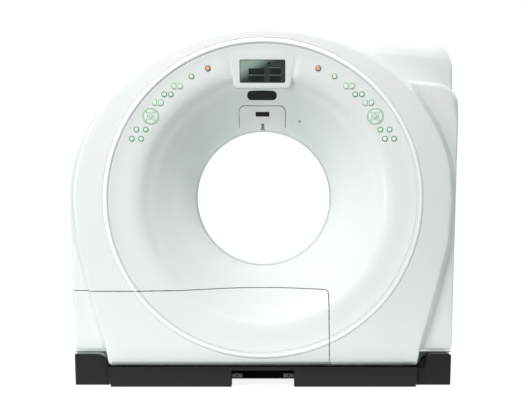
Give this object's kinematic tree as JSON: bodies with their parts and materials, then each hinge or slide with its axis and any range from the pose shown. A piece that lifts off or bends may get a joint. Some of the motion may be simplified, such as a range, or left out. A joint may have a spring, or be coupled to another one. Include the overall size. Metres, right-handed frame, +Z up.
{
  "type": "medical ct scanner gantry",
  "caption": "Tilting scanner gantry with a conical patient bore in white moulded covers, operator keys and display, a spinning rotor inside and a black floor base.",
  "frame": {"origin": "on the floor under the bore centre, at the middle of the base plate's underside", "axes": "+X to the right seen from the patient side, +Y from the patient side to the rear, +Z up"},
  "size_m": [2.027, 0.94, 1.866],
  "materials": {
    "base_black": "satin black paint",
    "base_cover": "satin black moulded plastic",
    "bracket_grey": "grey paint",
    "frame_steel": "grey primer",
    "motor_grey": "paint",
    "bright_steel": "ground",
    "cover_white": "satin moulded plastic with a faint green tint",
    "cap_white": "satin",
    "window_ring": "thin scan window film",
    "screen_dark": "glass-fronted screen",
    "window_dark": "tinted window",
    "belt_rubber": "matt",
    "guard_grey": "wire",
    "fan_black": "moulded",
    "rotor_alloy": "machined",
    "slip_brass": "polished tracks",
    "tube_grey": "paint",
    "detector_alloy": "anodised",
    "generator_case": "painted case",
    "detector_case": "paint",
    "key_white": "white key with green outline",
    "key_orange": "orange key"
  },
  "bodies": {
    "base": {"base_frame": "base_black", "front_plinth": "base_cover", "rear_plinth": "base_cover", "docking_brackets": "bracket_grey", "left_upright": "frame_steel", "right_upright": "frame_steel", "tilt_motor": "motor_grey"},
    "gantry": {"tilt_frame": "frame_steel", "trunnion_pins": "bright_steel", "tilt_sector_gear": "bright_steel", "front_cover": "cover_white", "lower_front_panel": "cover_white", "left_side_cover": "cover_white", "right_side_cover": "cover_white", "rear_cover": "cover_white", "upper_rear_hood": "cover_white", "scan_window_ring": "window_ring", "display_screen": "screen_dark", "sensor_window": "window_dark", "bore_top_cap": "cap_white", "main_bearing_outer": "bright_steel", "bearing_balls": "bright_steel", "rotor_drive_motor": "motor_grey", "drive_belt": "belt_rubber", "fan_guard": "guard_grey"},
    "rotor": {"rotor_drum": "rotor_alloy", "main_bearing_inner": "bright_steel", "slip_ring": "slip_brass", "xray_tube": "tube_grey", "collimator": "tube_grey", "detector_arc": "detector_case", "high_voltage_generator": "generator_case", "heat_exchanger": "detector_alloy"},
    "fan": {"cooling_fan": "fan_black"},
    "belt_pulley": {"motor_pulley": "rotor_alloy"},
    "tilt_gear": {"tilt_pinion": "bright_steel"},
    "left_stop": {"left_stop_key": "key_orange"},
    "left_upper": {"left_upper_key": "key_white"},
    "left_rocker_upper": {"left_rocker_upper_key": "key_white"},
    "left_mid_outer": {"left_mid_outer_key": "key_white"},
    "left_mid_inner": {"left_mid_inner_key": "key_white"},
    "left_rocker_mid": {"left_rocker_mid_key": "key_white"},
    "left_pad": {"left_pad_key": "key_white"},
    "left_pad_centre": {"left_pad_centre_key": "key_white"},
    "left_low_outer": {"left_low_outer_key": "key_white"},
    "left_low_inner": {"left_low_inner_key": "key_white"},
    "left_bottom_outer": {"left_bottom_outer_key": "key_white"},
    "left_bottom_inner": {"left_bottom_inner_key": "key_white"},
    "right_stop": {"right_stop_key": "key_orange"},
    "right_upper": {"right_upper_key": "key_white"},
    "right_rocker_upper": {"right_rocker_upper_key": "key_white"},
    "right_mid_outer": {"right_mid_outer_key": "key_white"},
    "right_mid_inner": {"right_mid_inner_key": "key_white"},
    "right_rocker_mid": {"right_rocker_mid_key": "key_white"},
    "right_pad": {"right_pad_key": "key_white"},
    "right_pad_centre": {"right_pad_centre_key": "key_white"},
    "right_low_outer": {"right_low_outer_key": "key_white"},
    "right_low_inner": {"right_low_inner_key": "key_white"},
    "right_bottom_outer": {"right_bottom_outer_key": "key_white"},
    "right_bottom_inner": {"right_bottom_inner_key": "key_white"}
  },
  "joints": [
    {"name": "gantry_tilt", "type": "hinge", "parent": "base", "child": "gantry", "pos_m": [0, 0, 0.965], "axis": [1, 0, 0], "range_deg": [-20, 20]},
    {"name": "rotor_spin", "type": "hinge", "parent": "gantry", "child": "rotor", "pos_m": [0, 0.1, 0.965], "axis": [0, 1, 0], "continuous": true},
    {"name": "pulley_spin", "type": "hinge", "parent": "gantry", "child": "belt_pulley", "pos_m": [-0.596, 0.1, 0.365], "axis": [0, 1, 0], "continuous": true},
    {"name": "fan_spin", "type": "hinge", "parent": "gantry", "child": "fan", "pos_m": [0.88, 0.36, 1.703], "axis": [0, 1, 0], "continuous": true},
    {"name": "pinion_spin", "type": "hinge", "parent": "base", "child": "tilt_gear", "pos_m": [0.845, 0, 0.62], "axis": [1, 0, 0], "range_deg": [-134, 134]},
    {"name": "left_stop_press", "type": "slide", "parent": "gantry", "child": "left_stop", "axis": [-0.0792, 0.9794, 0.186], "range_m": [0, 0.0015], "stiffness_N_per_m": 600, "springref_m": -0.001},
    {"name": "left_upper_press", "type": "slide", "parent": "gantry", "child": "left_upper", "axis": [-0.1025, 0.9794, 0.1742], "range_m": [0, 0.0015], "stiffness_N_per_m": 600, "springref_m": -0.001},
    {"name": "left_rocker_upper_rock", "type": "hinge", "parent": "gantry", "child": "left_rocker_upper", "pos_m": [-0.445, -0.41366, 1.5445], "axis": [0, -0.1616, 0.9869], "range_deg": [-3, 3], "stiffness_Nm_per_rad": 0.8},
    {"name": "left_mid_outer_press", "type": "slide", "parent": "gantry", "child": "left_mid_outer", "axis": [-0.1395, 0.9794, 0.1463], "range_m": [0, 0.0015], "stiffness_N_per_m": 600, "springref_m": -0.001},
    {"name": "left_mid_inner_press", "type": "slide", "parent": "gantry", "child": "left_mid_inner", "axis": [-0.124, 0.9824, 0.1394], "range_m": [0, 0.0015], "stiffness_N_per_m": 600, "springref_m": -0.001},
    {"name": "left_rocker_mid_rock", "type": "hinge", "parent": "gantry", "child": "left_rocker_mid", "pos_m": [-0.544, -0.41446, 1.4585], "axis": [0, -0.1374, 0.9905], "range_deg": [-3, 3], "stiffness_Nm_per_rad": 0.8},
    {"name": "left_pad_press", "type": "slide", "parent": "gantry", "child": "left_pad", "axis": [-0.1509, 0.9824, 0.1098], "range_m": [0, 0.0015], "stiffness_N_per_m": 600, "springref_m": -0.001},
    {"name": "left_pad_centre_press", "type": "slide", "parent": "gantry", "child": "left_pad_centre", "axis": [-0.1509, 0.9824, 0.1098], "range_m": [0, 0.0015], "stiffness_N_per_m": 600, "springref_m": -0.001},
    {"name": "left_low_outer_press", "type": "slide", "parent": "gantry", "child": "left_low_outer", "axis": [-0.1778, 0.9794, 0.0962], "range_m": [0, 0.0015], "stiffness_N_per_m": 600, "springref_m": -0.001},
    {"name": "left_low_inner_press", "type": "slide", "parent": "gantry", "child": "left_low_inner", "axis": [-0.1612, 0.9824, 0.094], "range_m": [0, 0.0015], "stiffness_N_per_m": 600, "springref_m": -0.001},
    {"name": "left_bottom_outer_press", "type": "slide", "parent": "gantry", "child": "left_bottom_outer", "axis": [-0.1842, 0.9794, 0.0833], "range_m": [0, 0.0015], "stiffness_N_per_m": 600, "springref_m": -0.001},
    {"name": "left_bottom_inner_press", "type": "slide", "parent": "gantry", "child": "left_bottom_inner", "axis": [-0.1678, 0.9824, 0.0815], "range_m": [0, 0.0015], "stiffness_N_per_m": 600, "springref_m": -0.001},
    {"name": "right_stop_press", "type": "slide", "parent": "gantry", "child": "right_stop", "axis": [0.0792, 0.9794, 0.186], "range_m": [0, 0.0015], "stiffness_N_per_m": 600, "springref_m": -0.001},
    {"name": "right_upper_press", "type": "slide", "parent": "gantry", "child": "right_upper", "axis": [0.1025, 0.9794, 0.1742], "range_m": [0, 0.0015], "stiffness_N_per_m": 600, "springref_m": -0.001},
    {"name": "right_rocker_upper_rock", "type": "hinge", "parent": "gantry", "child": "right_rocker_upper", "pos_m": [0.445, -0.41366, 1.5445], "axis": [0, -0.1616, 0.9869], "range_deg": [-3, 3], "stiffness_Nm_per_rad": 0.8},
    {"name": "right_mid_outer_press", "type": "slide", "parent": "gantry", "child": "right_mid_outer", "axis": [0.1395, 0.9794, 0.1463], "range_m": [0, 0.0015], "stiffness_N_per_m": 600, "springref_m": -0.001},
    {"name": "right_mid_inner_press", "type": "slide", "parent": "gantry", "child": "right_mid_inner", "axis": [0.124, 0.9824, 0.1394], "range_m": [0, 0.0015], "stiffness_N_per_m": 600, "springref_m": -0.001},
    {"name": "right_rocker_mid_rock", "type": "hinge", "parent": "gantry", "child": "right_rocker_mid", "pos_m": [0.544, -0.41446, 1.4585], "axis": [0, -0.1374, 0.9905], "range_deg": [-3, 3], "stiffness_Nm_per_rad": 0.8},
    {"name": "right_pad_press", "type": "slide", "parent": "gantry", "child": "right_pad", "axis": [0.1509, 0.9824, 0.1098], "range_m": [0, 0.0015], "stiffness_N_per_m": 600, "springref_m": -0.001},
    {"name": "right_pad_centre_press", "type": "slide", "parent": "gantry", "child": "right_pad_centre", "axis": [0.1509, 0.9824, 0.1098], "range_m": [0, 0.0015], "stiffness_N_per_m": 600, "springref_m": -0.001},
    {"name": "right_low_outer_press", "type": "slide", "parent": "gantry", "child": "right_low_outer", "axis": [0.1778, 0.9794, 0.0962], "range_m": [0, 0.0015], "stiffness_N_per_m": 600, "springref_m": -0.001},
    {"name": "right_low_inner_press", "type": "slide", "parent": "gantry", "child": "right_low_inner", "axis": [0.1612, 0.9824, 0.094], "range_m": [0, 0.0015], "stiffness_N_per_m": 600, "springref_m": -0.001},
    {"name": "right_bottom_outer_press", "type": "slide", "parent": "gantry", "child": "right_bottom_outer", "axis": [0.1842, 0.9794, 0.0833], "range_m": [0, 0.0015], "stiffness_N_per_m": 600, "springref_m": -0.001},
    {"name": "right_bottom_inner_press", "type": "slide", "parent": "gantry", "child": "right_bottom_inner", "axis": [0.1678, 0.9824, 0.0815], "range_m": [0, 0.0015], "stiffness_N_per_m": 600, "springref_m": -0.001}
  ],
  "couplings": [
    {"joint": "pulley_spin", "follows": "rotor_spin", "ratio": 11.897},
    {"joint": "pinion_spin", "follows": "gantry_tilt", "ratio": -6.6667}
  ]
}
